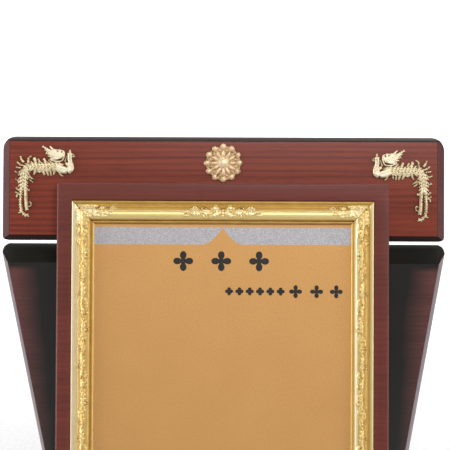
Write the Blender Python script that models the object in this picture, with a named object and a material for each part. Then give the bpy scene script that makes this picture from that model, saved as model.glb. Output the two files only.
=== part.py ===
"""A free-standing wooden award plaque, in metres with +Z up and the front towards -Y.

The front is a header board with a framed face panel fixed over its lower part. A wide leg board is hinged
to the back of the header. It swings back to hold the plaque at a lean, and folds flat for packing.

Every front piece is modelled upright, in the frame of the empty plaque_axes: X across, Y from front to back
and Z up the plaque, with Y = 0 on the back of the face panel and Z = 0 at that back's lower edge.
The leg's pieces hang from the empty leg_axis, which lies on the hinge pins.
"""

import math

import bmesh
import bpy
from mathutils import Matrix, Vector

MM = 0.001

# Driving dimensions
LEAN = math.radians(18)  # how far the front leans back
SPREAD = math.radians(42)  # angle between the front and the open leg
GAP = 0.3 * MM  # clearance between pieces that lie on each other

PANEL_WIDTH = 246 * MM
PANEL_HEIGHT = 309 * MM
PANEL_THICK = 12 * MM
PANEL_CHAMFER = 1.5 * MM

HEADER_WIDTH = PANEL_WIDTH + 84 * MM
HEADER_HEIGHT = 77.4 * MM
HEADER_THICK = 22 * MM
HEADER_RISE = 35.4 * MM  # how far the header stands above the panel
CHAMFER_DEPTH = 3.6 * MM
CHAMFER_REACH = 3.6 * MM  # from a board's top and bottom edges
CHAMFER_END_REACH = 5.4 * MM  # from a board's ends
TOP_CORNER_RADIUS = 10 * MM
LOW_CORNER_RADIUS = 3 * MM

LEG_WIDTH = HEADER_WIDTH + 3 * MM  # at its top edge
LEG_THICK = 22 * MM
LEG_TAPER = math.radians(4.2)  # each side's slope
LEG_CHAMFER_DEPTH = 11.5 * MM  # of the chamfers along the front of its sides
LEG_CHAMFER_REACH = 5 * MM
LEG_ROUND_DEPTH = 9 * MM  # of the rounding along the back of its sides
LEG_ROUND_REACH = 5.5 * MM
LEG_ROUND_STEPS = 5
LEG_SLOT = 0.5 * MM  # space between header and leg when folded

POCKET_DEPTH = 3 * MM  # the panel's recess that holds the gilt frame
FRAME_MARGIN_SIDE = 11.4 * MM
FRAME_MARGIN_END = 13 * MM
FRAME_CLEARANCE = 0.5 * MM
FRAME_LIP_REACH = 3.5 * MM  # how far the lip covers the plate
# The gilt frame's section, from its outer edge: distance in, height above its back
FRAME_SECTION_MM = (
    (0.0, 5.2),
    (0.6, 6.2),
    (1.6, 6.4),
    (2.6, 5.8),
    (3.6, 6.3),
    (5.2, 8.2),
    (7.0, 9.3),
    (8.8, 9.6),
    (10.6, 9.1),
    (12.2, 7.8),
    (13.4, 6.2),
    (14.4, 6.7),
    (15.8, 6.6),
    (16.8, 5.9),
)

PLATE_THICK = 1.0 * MM
BACKER_THICK = 3.3 * MM

ORNAMENT_THICK = 1.6 * MM
PHOENIX_INSET = 8.5 * MM  # header's end to the ornament
PHOENIX_DROP = 6.8 * MM  # header's top to the ornament
PHOENIX_RIGHT_LOWER = 2.2 * MM  # the right-hand one is set a little lower

EMBLEM_RADIUS = 14.6 * MM
EMBLEM_LOBES = 12
EMBLEM_ABOVE_PANEL = 1.0 * MM

PAD_RADIUS = 4.5 * MM
PAD_THICK = 2.0 * MM
PAD_INSET = 22 * MM  # pad's centre to the board's end

HINGE_X = 85 * MM
HINGE_LENGTH = 40 * MM
LEAF_HEIGHT = 19 * MM
LEAF_THICK = 1.2 * MM
BARREL_RADIUS = 2.2 * MM
BARREL_OFFSET = BARREL_RADIUS + 0.4 * MM  # pin's axis behind the boards' backs
PIN_RADIUS = 1.0 * MM
PIN_HEAD_RADIUS = 1.9 * MM
PIN_HEAD_LENGTH = 1.0 * MM
KNUCKLE_GAP = 0.4 * MM
STOP_REACH = 8.5 * MM
STOP_WIDTH = 8 * MM
HINGE_SCREW_X = 11 * MM  # each side of the hinge's middle
HINGE_SCREW_Z = 13 * MM  # from the pin's axis

HEADER_SCREW_END = 7 * MM  # outer screws' distance in from the panel's edge
HEADER_SCREW_INNER = 40 * MM  # inner screws' distance from the middle
HEADER_SCREW_RISE = 22 * MM  # above the header's lower edge
FRAME_SCREW_INSET = 8.8 * MM  # from the gilt frame's outer edge, under its crown
FRAME_SCREW_END = 45 * MM  # from the gilt frame's ends

SCREW_SINK = 0.2 * MM  # how far the heads lie below the surface
# Screws: (head radius, shank radius, length)
HEADER_SCREW = (3.6 * MM, 1.8 * MM, HEADER_THICK + 6 * MM)
FRAME_SCREW = (2.8 * MM, 1.3 * MM, PANEL_THICK - POCKET_DEPTH + 3.5 * MM)
HINGE_SCREW = (2.4 * MM, 1.2 * MM, 12 * MM)

ROUND = 16  # sides of small round parts

# Places that follow from the dimensions above
FOOT_HEIGHT = PAD_THICK + GAP
PANEL_FRONT = -PANEL_THICK
HEADER_TOP = PANEL_HEIGHT + HEADER_RISE
HEADER_BOTTOM = HEADER_TOP - HEADER_HEIGHT
HEADER_FRONT = GAP
HEADER_BACK = HEADER_FRONT + HEADER_THICK
PIVOT_Y = HEADER_BACK + BARREL_OFFSET
PIVOT_Z = HEADER_BOTTOM - LEG_SLOT / 2
FRAME_WIDTH = PANEL_WIDTH - 2 * FRAME_MARGIN_SIDE
FRAME_BOTTOM = FRAME_MARGIN_END
FRAME_TOP = PANEL_HEIGHT - FRAME_MARGIN_END
FRAME_RAIL = FRAME_SECTION_MM[-1][0] * MM
POCKET_FLOOR = PANEL_FRONT + POCKET_DEPTH
FRAME_BACK = POCKET_FLOOR - GAP
FRAME_LIP_HEIGHT = BACKER_THICK + PLATE_THICK + 2 * GAP  # underside of its inner lip, above its back

WOOD_HEADER = ("header_wood", (0.235, 0.052, 0.030), 0.30, 0.0)
WOOD_PANEL = ("panel_wood", (0.150, 0.040, 0.034), 0.42, 0.0)
WOOD_LEG = ("leg_wood", (0.085, 0.028, 0.022), 0.28, 0.0)
GILT = ("gilt", (0.80, 0.56, 0.20), 0.25, 1.0)
PLATE = ("plate_gold", (0.66, 0.36, 0.13), 0.50, 0.6)
BOARD = ("backer_board", (0.33, 0.24, 0.16), 0.85, 0.0)
BRASS = ("ornament_brass", (0.86, 0.68, 0.40), 0.30, 1.0)
STEEL = ("hinge_steel", (0.62, 0.52, 0.34), 0.35, 1.0)
FELT = ("pad_felt", (0.03, 0.03, 0.03), 0.95, 0.0)


def clear_scene():
    for obj in list(bpy.data.objects):
        bpy.data.objects.remove(obj)


def material(finish):
    name, colour, roughness, metallic = finish
    made = bpy.data.materials.get(name)
    if made is None:
        made = bpy.data.materials.new(name)
        made.use_nodes = True
        shader = made.node_tree.nodes["Principled BSDF"]
        shader.inputs["Base Color"].default_value = (*colour, 1.0)
        shader.inputs["Roughness"].default_value = roughness
        shader.inputs["Metallic"].default_value = metallic
    return made


def add_object(name, mesh, finish, parent):
    obj = bpy.data.objects.new(name, mesh)
    bpy.context.scene.collection.objects.link(obj)
    obj.parent = parent
    if finish:
        mesh.materials.append(material(finish))
        mesh.shade_smooth()
        mesh.set_sharp_from_angle(angle=math.radians(35))
    return obj


def mesh_from(bm, name):
    bmesh.ops.recalc_face_normals(bm, faces=bm.faces)
    mesh = bpy.data.meshes.new(name)
    bm.to_mesh(mesh)
    bm.free()
    return mesh


def add_cutter(name, bm, parent):
    """A hidden helper for Boolean modifiers."""
    obj = add_object(name, mesh_from(bm, name), None, parent)
    obj.hide_render = True
    obj.display_type = "WIRE"
    return obj


def boolean(obj, operation, other):
    modifier = obj.modifiers.new(operation.lower(), "BOOLEAN")
    modifier.operation = operation
    modifier.object = other
    modifier.solver = "EXACT"


def prism(bm, outline, y_front, y_back):
    """Adds an outline of (x, z) points, extruded from y_front to y_back."""
    front = [bm.verts.new((x, y_front, z)) for x, z in outline]
    back = [bm.verts.new((x, y_back, z)) for x, z in outline]
    bm.faces.new(front)
    bm.faces.new(list(reversed(back)))
    for i in range(len(outline)):
        j = (i + 1) % len(outline)
        bm.faces.new((front[j], front[i], back[i], back[j]))


def box(bm, low, high):
    outline = ((low[0], low[2]), (high[0], low[2]), (high[0], high[2]), (low[0], high[2]))
    prism(bm, outline, low[1], high[1])


def turned(bm, profile, place, sides=ROUND):
    """Adds a solid turned about its own Z axis from (radius, z) points, then moved by the matrix place."""
    rings = []
    for radius, z in profile:
        if radius == 0:
            rings.append([bm.verts.new((0, 0, z))])
        else:
            turns = [2 * math.pi * i / sides for i in range(sides)]
            rings.append([bm.verts.new((radius * math.cos(a), radius * math.sin(a), z)) for a in turns])
    for low, high in zip(rings, rings[1:]):
        for i in range(sides):
            j = (i + 1) % sides
            corners = [low[i % len(low)], low[j % len(low)], high[j % len(high)], high[i % len(high)]]
            bm.faces.new(list(dict.fromkeys(corners)))
    for ring, wanted in ((rings[0], -1), (rings[-1], 1)):
        if len(ring) > 1:
            bm.faces.new(ring[::wanted])
    for ring in rings:
        bmesh.ops.transform(bm, matrix=place, verts=ring)


def rounded_outline(corners, radii, steps=8):
    """Corner points, each rounded by its radius, as an outline of (x, z) points."""
    outline = []
    for i, (corner, radius) in enumerate(zip(corners, radii)):
        here = Vector(corner)
        before = (Vector(corners[i - 1]) - here).normalized()
        after = (Vector(corners[(i + 1) % len(corners)]) - here).normalized()
        half = before.angle(after) / 2
        centre = here + (before + after).normalized() * radius / math.sin(half)
        start = here + before * radius / math.tan(half) - centre
        sweep = math.pi - 2 * half
        turn = 1 if before.x * after.y - before.y * after.x < 0 else -1
        for k in range(steps + 1):
            angle = turn * sweep * k / steps
            spoke = Matrix.Rotation(angle, 2) @ start
            outline.append(tuple(centre + spoke))
    return outline


def inset_corners(corners, reach, end_reach):
    """A symmetric four-cornered outline moved inwards, by reach in Z and by end_reach in X."""
    (low_x, low_z), (high_x, high_z) = corners[1], corners[2]
    slope = (high_x - low_x) / (high_z - low_z)
    low_x, high_x = low_x + slope * reach - end_reach, high_x - slope * reach - end_reach
    low_z, high_z = low_z + reach, high_z - reach
    return ((-low_x, low_z), (low_x, low_z), (high_x, high_z), (-high_x, high_z))


def join_rings(bm, rings):
    """A closed body through four-cornered rings, from its front to its back."""
    for near, far in zip(rings, rings[1:]):
        for i in range(4):
            j = (i + 1) % 4
            bm.faces.new((near[j], near[i], far[i], far[j]))
    bm.faces.new(rings[0])
    bm.faces.new(list(reversed(rings[-1])))


def chamfered_slab(bm, corners_front, corners_back, y_front, y_back, depth, reach, end_reach):
    """A slab whose four front edges are chamfered, with mitred corners."""
    share = depth / (y_back - y_front)
    edge = [Vector(front).lerp(Vector(back), share) for front, back in zip(corners_front, corners_back)]
    outlines = (
        (inset_corners(corners_front, reach, end_reach), y_front),
        (edge, y_front + depth),
        (corners_back, y_back),
    )
    join_rings(bm, [[bm.verts.new((x, y, z)) for x, z in outline] for outline, y in outlines])


def screw_profile(sizes, grow=0.0):
    """A countersunk screw along +Z, its head's flat top at Z = 0. With grow, the clearance hole for it."""
    head, shank, length = sizes
    tip, rim = shank * 0.3, 0.1 * head
    profile = [(0.0, -length - grow), (tip + grow, -length - grow), (shank + grow, -length + 2 * shank)]
    profile += [(shank + grow, shank - head), (head + grow, -rim)]
    if grow:
        return [*profile, (head + grow, 2 * head), (0.0, 2 * head)]
    drive_radius, drive_depth = 0.45 * head, 0.3 * head
    profile += [(head, 0.0), (drive_radius, 0.0)]
    return [*profile, (drive_radius / 2, -drive_depth), (0.0, -drive_depth)]


def facing_back(x, y, z):
    """The place of a turned piece whose top faces +Y, at a point."""
    return Matrix.Translation((x, y, z)) @ Matrix.Rotation(math.radians(-90), 4, "X")


def along_x(x):
    """The place of a turned piece that runs from x towards +X, on the pins' axis."""
    return Matrix.Translation((x, 0, 0)) @ Matrix.Rotation(math.radians(90), 4, "Y")


def add_screw(name, sizes, place, parent):
    bm = bmesh.new()
    turned(bm, screw_profile(sizes), place, 12)
    return add_object(name, mesh_from(bm, name), STEEL, parent)


def side_name(x):
    return "left" if x < 0 else "right"


def header_screw_places():
    z = HEADER_BOTTOM + HEADER_SCREW_RISE
    outer = PANEL_WIDTH / 2 - HEADER_SCREW_END
    xs = (-outer, -HEADER_SCREW_INNER, HEADER_SCREW_INNER, outer)
    return [facing_back(x, HEADER_BACK - SCREW_SINK, z) for x in xs]


def frame_screw_places():
    x = FRAME_WIDTH / 2 - FRAME_SCREW_INSET
    heights = (FRAME_BOTTOM + FRAME_SCREW_END, FRAME_TOP - FRAME_SCREW_END)
    return [facing_back(sx * x, -SCREW_SINK, z) for z in heights for sx in (-1, 1)]


def leaf_face_y():
    """The outer face of a hinge leaf, in front of the pin's axis."""
    return -BARREL_OFFSET + GAP + LEAF_THICK


def hinge_screw_places(direction):
    """Both hinges' screws, from the pins' axis: direction is 1 for the header's leaves, -1 for the leg's."""
    y = leaf_face_y() - SCREW_SINK
    xs = [sx * HINGE_X + dx * HINGE_SCREW_X for sx in (-1, 1) for dx in (-1, 1)]
    return [facing_back(x, y, direction * HINGE_SCREW_Z) for x in xs]


def drill(name, sizes, places, parent, bm=None):
    """A cutter that makes the clearance holes of screws."""
    bm = bm or bmesh.new()
    for place in places:
        turned(bm, screw_profile(sizes, GAP), place, 12)
    return add_cutter(name, bm, parent)


def make_header(plaque, pins):
    x = HEADER_WIDTH / 2
    corners = ((-x, HEADER_BOTTOM), (x, HEADER_BOTTOM), (x, HEADER_TOP), (-x, HEADER_TOP))
    bm = bmesh.new()
    chamfer = (CHAMFER_DEPTH, CHAMFER_REACH, CHAMFER_END_REACH)
    chamfered_slab(bm, corners, corners, HEADER_FRONT, HEADER_BACK, *chamfer)
    header = add_object("header_board", mesh_from(bm, "header_board"), WOOD_HEADER, plaque)
    bm = bmesh.new()
    radii = (LOW_CORNER_RADIUS, LOW_CORNER_RADIUS, TOP_CORNER_RADIUS, TOP_CORNER_RADIUS)
    prism(bm, rounded_outline(corners, radii), HEADER_FRONT - 5 * MM, HEADER_BACK + 5 * MM)
    boolean(header, "INTERSECT", add_cutter("header_outline", bm, plaque))
    boolean(header, "DIFFERENCE", drill("header_drill", HEADER_SCREW, header_screw_places(), plaque))
    boolean(header, "DIFFERENCE", drill("header_hinge_drill", HINGE_SCREW, hinge_screw_places(1), pins))
    for i, place in enumerate(header_screw_places()):
        add_screw(f"header_screw_{i + 1}", HEADER_SCREW, place, plaque)


def make_panel(plaque):
    x = PANEL_WIDTH / 2
    lip = PANEL_FRONT * math.tan(LEAN)
    front = ((-x, lip), (x, lip), (x, PANEL_HEIGHT), (-x, PANEL_HEIGHT))
    back = ((-x, 0), (x, 0), (x, PANEL_HEIGHT), (-x, PANEL_HEIGHT))
    bm = bmesh.new()
    chamfered_slab(bm, front, back, PANEL_FRONT, 0, PANEL_CHAMFER, PANEL_CHAMFER, PANEL_CHAMFER)
    panel = add_object("face_panel", mesh_from(bm, "face_panel"), WOOD_PANEL, plaque)
    bm = bmesh.new()
    half = FRAME_WIDTH / 2 + FRAME_CLEARANCE
    low = (-half, PANEL_FRONT - 5 * MM, FRAME_BOTTOM - FRAME_CLEARANCE)
    box(bm, low, (half, POCKET_FLOOR, FRAME_TOP + FRAME_CLEARANCE))
    boolean(panel, "DIFFERENCE", add_cutter("panel_pocket", bm, plaque))
    boolean(panel, "DIFFERENCE", drill("panel_drill", HEADER_SCREW, header_screw_places(), plaque))
    boolean(panel, "DIFFERENCE", drill("panel_frame_drill", FRAME_SCREW, frame_screw_places(), plaque))
    for i, place in enumerate(frame_screw_places()):
        add_screw(f"frame_screw_{i + 1}", FRAME_SCREW, place, plaque)


def frame_corners(inset, height):
    """The gilt frame's four corners at a distance in from its edge and a height above its back."""
    x = FRAME_WIDTH / 2 - inset
    low, high = FRAME_BOTTOM + inset, FRAME_TOP - inset
    y = FRAME_BACK - height
    return [Vector((sx * x, y, z)) for sx, z in ((-1, low), (1, low), (1, high), (-1, high))]


def make_gilt_frame(plaque):
    """Four lengths of moulding, mitred at the corners, with a rebate at the back for the plate."""
    section = [(t * MM, h * MM) for t, h in FRAME_SECTION_MM]
    rebate = FRAME_RAIL - FRAME_LIP_REACH
    section += [(FRAME_RAIL, FRAME_LIP_HEIGHT), (rebate, FRAME_LIP_HEIGHT), (rebate, 0.0), (0.0, 0.0)]
    rings = [frame_corners(inset, height) for inset, height in section]
    for i, side in enumerate(("bottom", "right", "top", "left")):
        j = (i + 1) % 4
        joint = (rings[0][j] - rings[0][i]).normalized() * GAP / math.sqrt(2)
        bm = bmesh.new()
        starts = [bm.verts.new(ring[i] + joint) for ring in rings]
        ends = [bm.verts.new(ring[j] - joint) for ring in rings]
        for k in range(len(section)):
            bm.faces.new((starts[k - 1], ends[k - 1], ends[k], starts[k]))
        bm.faces.new(starts)
        bm.faces.new(ends)
        name = f"frame_{side}"
        rail = add_object(name, mesh_from(bm, name), GILT, plaque)
        if side in ("left", "right"):
            places = [p for p in frame_screw_places() if side_name(p.translation.x) == side]
            boolean(rail, "DIFFERENCE", drill(f"{name}_drill", FRAME_SCREW, places, plaque))


def make_plate(plaque):
    """The backing board and the award plate, stacked inside the gilt frame's rebate."""
    inset = FRAME_RAIL - FRAME_LIP_REACH + GAP
    x = FRAME_WIDTH / 2 - inset
    low, high = FRAME_BOTTOM + inset, FRAME_TOP - inset
    backer_front = FRAME_BACK - BACKER_THICK
    plate_back = backer_front - GAP
    plate_front = plate_back - PLATE_THICK
    for name, finish, near, far in (
        ("plate_backer", BOARD, backer_front, FRAME_BACK),
        ("award_plate", PLATE, plate_front, plate_back),
    ):
        bm = bmesh.new()
        box(bm, (-x, near, low), (x, far, high))
        add_object(name, mesh_from(bm, name), finish, plaque)


def phoenix_outline():
    """The ornament that looks towards +X: outline points in millimetres from its top outer corner."""
    wing = ((24.6, -5.2), (21.4, 0.0), (25.0, -2.6), (27.2, -0.8), (31.0, -3.4), (37.4, -4.2), (38.8, -8.2))
    head = ((40.4, -10.4), (40.2, -6.4), (42.4, -2.8), (44.6, -5.6), (46.6, -9.0), (44.6, -8.8))
    breast = ((45.4, -13.0), (45.7, -17.0), (43.8, -21.0), (41.0, -22.4), (37.6, -22.0), (35.6, -23.6))
    under = ((33.0, -21.6), (27.0, -22.4), (20.0, -21.6), (15.0, -20.2), (13.0, -23.0), (12.2, -28.0))
    streamers = ((11.4, -34.0), (11.2, -47.0), (11.8, -53.6), (8.6, -53.0), (7.6, -50.6), (4.2, -51.6))
    outside = ((4.9, -47.0), (5.0, -38.0), (4.0, -28.0), (2.4, -22.0), (3.2, -17.0), (5.6, -13.4))
    back = ((9.4, -11.4), (16.0, -11.8), (24.0, -11.6), (28.4, -10.6))
    return [(x * MM, z * MM) for x, z in wing + head + breast + under + streamers + outside + back]


def make_phoenix(side, drop, plaque):
    """side is -1 on the left, where the bird looks right, and 1 on the right, where it looks left."""
    left = HEADER_WIDTH / 2 - PHOENIX_INSET
    top = HEADER_TOP - PHOENIX_DROP - drop
    outline = [(side * (left - x), top + z) for x, z in phoenix_outline()]
    name = f"phoenix_{side_name(side)}"
    bm = bmesh.new()
    prism(bm, outline, HEADER_FRONT - GAP - ORNAMENT_THICK, HEADER_FRONT - GAP)
    add_object(name, mesh_from(bm, name), BRASS, plaque)


def make_emblem(plaque):
    """A scalloped rosette with a raised rim, a sunk field and a domed boss."""
    centre = PANEL_HEIGHT + EMBLEM_ABOVE_PANEL + EMBLEM_RADIUS
    back = HEADER_FRONT - GAP
    # (share of the radius, height, depth of the scallops)
    steps = ((1.0, 0.0, 0.05), (1.0, 0.8, 0.05), (0.94, 1.3, 0.05), (0.78, 1.3, 0.02), (0.70, 0.8, 0.0))
    steps += ((0.44, 0.8, 0.0), (0.36, 1.6, 0.0), (0.18, 2.1, 0.0))
    count = 4 * EMBLEM_LOBES
    bm = bmesh.new()
    rings = []
    for share, height, scallop in steps:
        ring = []
        for i in range(count):
            angle = 2 * math.pi * i / count
            radius = EMBLEM_RADIUS * share * (1 - scallop * (1 - math.cos(EMBLEM_LOBES * angle)) / 2)
            x, z = radius * math.sin(angle), centre + radius * math.cos(angle)
            ring.append(bm.verts.new((x, back - height * MM, z)))
        rings.append(ring)
    for low, high in zip(rings, rings[1:]):
        for i in range(count):
            j = (i + 1) % count
            bm.faces.new((low[i], low[j], high[j], high[i]))
    bm.faces.new(rings[0])
    bm.faces.new(rings[-1])
    add_object("emblem", mesh_from(bm, "emblem"), BRASS, plaque)


def add_pad(name, x, y):
    bm = bmesh.new()
    profile = ((0.0, 0.0), (PAD_RADIUS, 0.0), (PAD_RADIUS, PAD_THICK), (0.0, PAD_THICK))
    turned(bm, profile, Matrix.Translation((x, y, 0)))
    add_object(name, mesh_from(bm, name), FELT, None)


def leg_side_profile():
    """The section of the leg's sides: how far in they stand at each depth behind its front face."""
    profile = [(0.0, LEG_CHAMFER_REACH), (LEG_CHAMFER_DEPTH, 0.0)]
    for step in range(LEG_ROUND_STEPS + 1):
        angle = math.radians(90) * step / LEG_ROUND_STEPS
        depth = LEG_THICK - LEG_ROUND_DEPTH * (1 - math.sin(angle))
        profile.append((depth, LEG_ROUND_REACH * (1 - math.cos(angle))))
    return profile


def make_leg(leg_axis, leg_length_front, leg_length_back):
    """The leg board in the leg's frame, as it hangs when folded: the pins' axis at the origin."""
    front, back = -BARREL_OFFSET - LEG_THICK, -BARREL_OFFSET
    top = -LEG_SLOT / 2
    half = LEG_WIDTH / 2

    def corners(length):
        low = half - length * math.tan(LEG_TAPER)
        return ((-low, -length), (low, -length), (half, top), (-half, top))

    bm = bmesh.new()
    rings = []
    for depth, inset in leg_side_profile():
        share = depth / LEG_THICK
        length = leg_length_front + (leg_length_back - leg_length_front) * share
        outline = inset_corners(corners(length), 0.0, inset)
        rings.append([bm.verts.new((x, front + depth, z)) for x, z in outline])
    join_rings(bm, rings)
    leg = add_object("leg_board", mesh_from(bm, "leg_board"), WOOD_LEG, leg_axis)
    boolean(leg, "DIFFERENCE", drill("leg_drill", HINGE_SCREW, hinge_screw_places(-1), leg_axis))


def add_leaf(name, x, direction, knuckles, parent):
    """A hinge leaf about the pins' axis. direction is 1 for the leaf on the header and -1 for the leg's."""
    inner, outer = -BARREL_OFFSET + GAP, leaf_face_y()
    third = HINGE_LENGTH / 3
    clear = BARREL_RADIUS + KNUCKLE_GAP
    bm = bmesh.new()
    z_low, z_high = sorted((direction * clear, direction * LEAF_HEIGHT))
    box(bm, (x - HINGE_LENGTH / 2, inner, z_low), (x + HINGE_LENGTH / 2, outer, z_high))
    leaf = add_object(name, mesh_from(bm, name), STEEL, parent)
    for i, slot in enumerate(knuckles):
        middle = x + slot * third
        length = third - KNUCKLE_GAP
        bm = bmesh.new()
        profile = ((0.0, 0.0), (BARREL_RADIUS, 0.0), (BARREL_RADIUS, length), (0.0, length))
        turned(bm, profile, along_x(middle - length / 2))
        boolean(leaf, "UNION", add_cutter(f"{name}_barrel_{i}", bm, parent))
        bm = bmesh.new()
        web = sorted((0.0, direction * (clear + LEAF_THICK)))
        box(bm, (middle - length / 2, inner, web[0]), (middle + length / 2, outer, web[1]))
        boolean(leaf, "UNION", add_cutter(f"{name}_web_{i}", bm, parent))
    bm = bmesh.new()
    bore = PIN_RADIUS + GAP
    through = 2 * HINGE_LENGTH
    turned(bm, ((0.0, 0.0), (bore, 0.0), (bore, through), (0.0, through)), along_x(x - HINGE_LENGTH))
    boolean(leaf, "DIFFERENCE", add_cutter(f"{name}_bore", bm, parent))
    places = [p for p in hinge_screw_places(direction) if abs(p.translation.x - x) < HINGE_LENGTH / 2]
    boolean(leaf, "DIFFERENCE", drill(f"{name}_drill", HINGE_SCREW, places, parent))
    return leaf


def add_stops(leaf, x, pins):
    """Two ears bent from the fixed leaf's knuckles. The leg's leaf lies against them when the leg is open."""
    near = leaf_face_y() + GAP
    far = near + LEAF_THICK
    root = -(PIN_RADIUS + BARREL_RADIUS) / 2
    for i, slot in enumerate((-1, 1)):
        left = x + slot * HINGE_LENGTH / 3 - STOP_WIDTH / 2
        bm = bmesh.new()
        box(bm, (left, near, -STOP_REACH), (left + STOP_WIDTH, far, root))
        bmesh.ops.rotate(bm, cent=(0, 0, 0), matrix=Matrix.Rotation(SPREAD, 3, "X"), verts=bm.verts)
        boolean(leaf, "UNION", add_cutter(f"{leaf.name}_stop_{i}", bm, pins))
        leaf.modifiers.move(len(leaf.modifiers) - 1, 0)


def make_hinge(x, pins, leg_axis):
    name = f"hinge_{side_name(x)}"
    fixed = add_leaf(f"{name}_header_leaf", x, 1, (-1, 1), pins)
    add_stops(fixed, x, pins)
    add_leaf(f"{name}_leg_leaf", x, -1, (0,), leg_axis)
    half = HINGE_LENGTH / 2
    bm = bmesh.new()
    along = along_x(x - half)
    crown, end = 0.7 * PIN_HEAD_RADIUS, HINGE_LENGTH + PIN_HEAD_LENGTH
    profile = [(0.0, -PIN_HEAD_LENGTH), (crown, -PIN_HEAD_LENGTH), (PIN_HEAD_RADIUS, 0.0), (PIN_RADIUS, 0.0)]
    profile += [(PIN_RADIUS, HINGE_LENGTH), (PIN_HEAD_RADIUS, HINGE_LENGTH), (crown, end), (0.0, end)]
    turned(bm, profile, along)
    add_object(f"{name}_pin", mesh_from(bm, f"{name}_pin"), STEEL, pins)


def add_empty(name, location, angle, parent=None):
    empty = bpy.data.objects.new(name, None)
    bpy.context.scene.collection.objects.link(empty)
    empty.parent = parent
    empty.location = location
    empty.rotation_euler = (angle, 0, 0)
    return empty


def main():
    clear_scene()
    # The leg's faces run down to the level of the panel's foot
    slope = SPREAD - LEAN
    pivot_height = PIVOT_Z * math.cos(LEAN) - PIVOT_Y * math.sin(LEAN)
    pivot_depth = PIVOT_Z * math.sin(LEAN) + PIVOT_Y * math.cos(LEAN)
    back_length = (pivot_height - BARREL_OFFSET * math.sin(slope)) / math.cos(slope)
    front_length = (pivot_height - (BARREL_OFFSET + LEG_THICK) * math.sin(slope)) / math.cos(slope)

    # The depth that the standing plaque covers, so that the origin lies under its middle
    rearmost = pivot_depth + back_length * math.sin(slope) - BARREL_OFFSET * math.cos(slope)
    crown_inset, crown = max(FRAME_SECTION_MM, key=lambda point: point[1])
    crown_y, crown_z = FRAME_BACK - crown * MM, FRAME_BOTTOM + crown_inset * MM
    frame_nose = crown_y * math.cos(LEAN) + crown_z * math.sin(LEAN)
    panel_nose = PANEL_FRONT / math.cos(LEAN) + PANEL_CHAMFER * math.sin(LEAN)
    shift = -(rearmost + min(frame_nose, panel_nose)) / 2

    plaque = add_empty("plaque_axes", (0, shift, FOOT_HEIGHT), -LEAN)
    pins = add_empty("pin_axis", (0, PIVOT_Y, PIVOT_Z), 0, plaque)
    leg_axis = add_empty("leg_axis", (0, PIVOT_Y, PIVOT_Z), SPREAD, plaque)

    make_header(plaque, pins)
    make_panel(plaque)
    make_gilt_frame(plaque)
    make_plate(plaque)
    make_phoenix(-1, 0, plaque)
    make_phoenix(1, PHOENIX_RIGHT_LOWER, plaque)
    make_emblem(plaque)
    make_leg(leg_axis, front_length, back_length)
    for x in (-HINGE_X, HINGE_X):
        make_hinge(x, pins, leg_axis)
    for i, place in enumerate(hinge_screw_places(1)):
        add_screw(f"hinge_header_screw_{i + 1}", HINGE_SCREW, place, pins)
    for i, place in enumerate(hinge_screw_places(-1)):
        add_screw(f"hinge_leg_screw_{i + 1}", HINGE_SCREW, place, leg_axis)

    # The pads lie flat under the level-cut ends of the panel and the leg
    front_y = shift + PANEL_FRONT / math.cos(LEAN) / 2
    rear_y = shift + rearmost - LEG_THICK / math.cos(slope) / 2
    leg_foot = LEG_WIDTH / 2 - back_length * math.tan(LEG_TAPER)
    for side in (-1, 1):
        add_pad(f"front_pad_{side_name(side)}", side * (PANEL_WIDTH / 2 - PAD_INSET), front_y)
        add_pad(f"leg_pad_{side_name(side)}", side * (leg_foot - PAD_INSET), rear_y)


main()
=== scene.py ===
import math

import bmesh
import bpy
import numpy as np
from mathutils import Matrix, Vector


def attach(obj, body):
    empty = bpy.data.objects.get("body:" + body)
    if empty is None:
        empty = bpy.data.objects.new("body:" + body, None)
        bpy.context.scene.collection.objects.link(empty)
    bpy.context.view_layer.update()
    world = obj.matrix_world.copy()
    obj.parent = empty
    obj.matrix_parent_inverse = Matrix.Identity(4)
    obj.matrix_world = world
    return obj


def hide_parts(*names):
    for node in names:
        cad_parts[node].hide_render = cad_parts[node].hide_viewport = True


# The looks of a free-standing wooden award plaque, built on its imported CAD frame, in metres
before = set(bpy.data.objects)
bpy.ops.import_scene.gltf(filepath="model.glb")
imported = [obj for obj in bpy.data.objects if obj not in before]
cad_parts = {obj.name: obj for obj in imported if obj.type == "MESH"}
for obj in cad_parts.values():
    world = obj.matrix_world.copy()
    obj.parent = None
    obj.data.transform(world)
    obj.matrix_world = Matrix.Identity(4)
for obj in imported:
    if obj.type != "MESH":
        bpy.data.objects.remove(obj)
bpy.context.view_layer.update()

# ------------------------------------------------------------------------------------------ Header board
# The crossways board at the top, 22 mm stock faced with red rosewood veneer and lacquered to a gloss. Its top
# corners are rounded. Its front edges are chamfered and stained dark above and below; at the ends the chamfers
# are painted a lighter brown, painted light where the side lamps fall on them.

MM = 0.001
FRONT_TURN = math.radians(-18)  # how the front boards are turned about X
BOARD_CHAMFER = 3.6 * MM  # how far chamfers reach in over a board's face
END_CHAMFER_EXTRA = 1.8 * MM  # how much further the chamfers reach in from a board's ends
ARRIS = 0.4 * MM  # edges softened by sanding and lacquer
TOP_CORNER = 10 * MM
LOW_CORNER = 3 * MM
HAIR = 0.01 * MM  # within this, two places count as the same
SPARE = 10 * MM  # how far a cutting block stands out past what it cuts
FORWARDS = 0.98  # a face whose normal points this much forwards is a board's front
SIDEWAYS = 0.4  # and one that points this much sideways, and not backwards, belongs to an end
GRAIN_GAP = 4.4 * MM
GRAIN_WAVER = 19.0  # radians by which the dark lines waver
GRAIN_SHARPNESS = 2.6


def square_box(node, turn):
    """A CAD node's lowest and highest corner, measured square to a board that is turned about X."""
    untilt = Matrix.Rotation(-turn, 3, "X")
    points = np.array([untilt @ v.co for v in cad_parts[node].data.vertices])
    return Vector(points.min(axis=0)), Vector(points.max(axis=0))


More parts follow.
